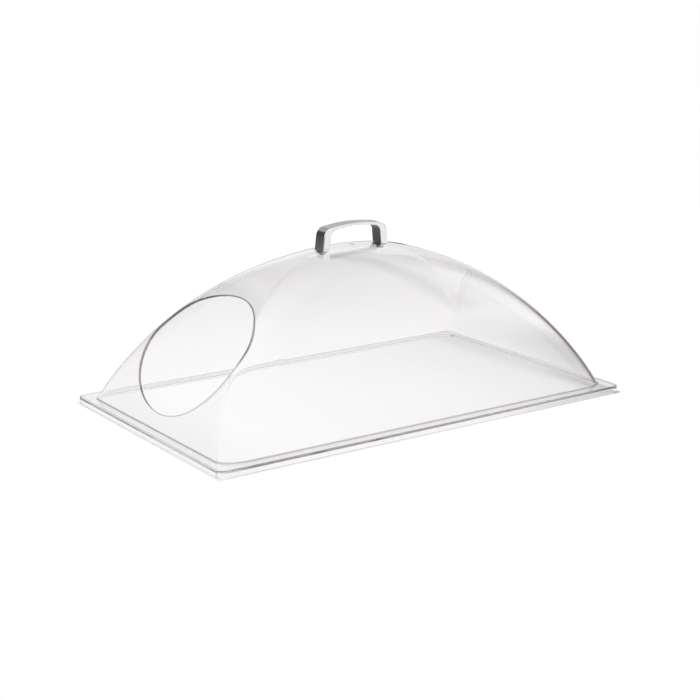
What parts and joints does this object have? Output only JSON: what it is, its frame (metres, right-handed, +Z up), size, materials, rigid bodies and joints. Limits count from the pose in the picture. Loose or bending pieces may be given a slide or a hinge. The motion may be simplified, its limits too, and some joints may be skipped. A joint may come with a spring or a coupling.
{
  "type": "food cover",
  "caption": "Clear rectangular dome food cover on a flanged rim, with an oval serving opening in the end and a plated strap handle on top.",
  "frame": {"origin": "middle of the rim's underside, on the table", "axes": "+X along the cover, away from the serving opening; +Y across it; +Z up through the handle"},
  "size_m": [0.508, 0.3048, 0.1934],
  "materials": {
    "clear_polycarbonate": "clear, moulded to a high gloss",
    "bright_plating": "bright chrome plating",
    "screw_steel": "dull zinc",
    "washer_steel": "dull zinc"
  },
  "bodies": {
    "root": {"dome_cover": "clear_polycarbonate", "handle": "bright_plating", "left_screw": "screw_steel", "right_screw": "screw_steel", "left_washer": "washer_steel", "right_washer": "washer_steel"}
  },
  "joints": []
}
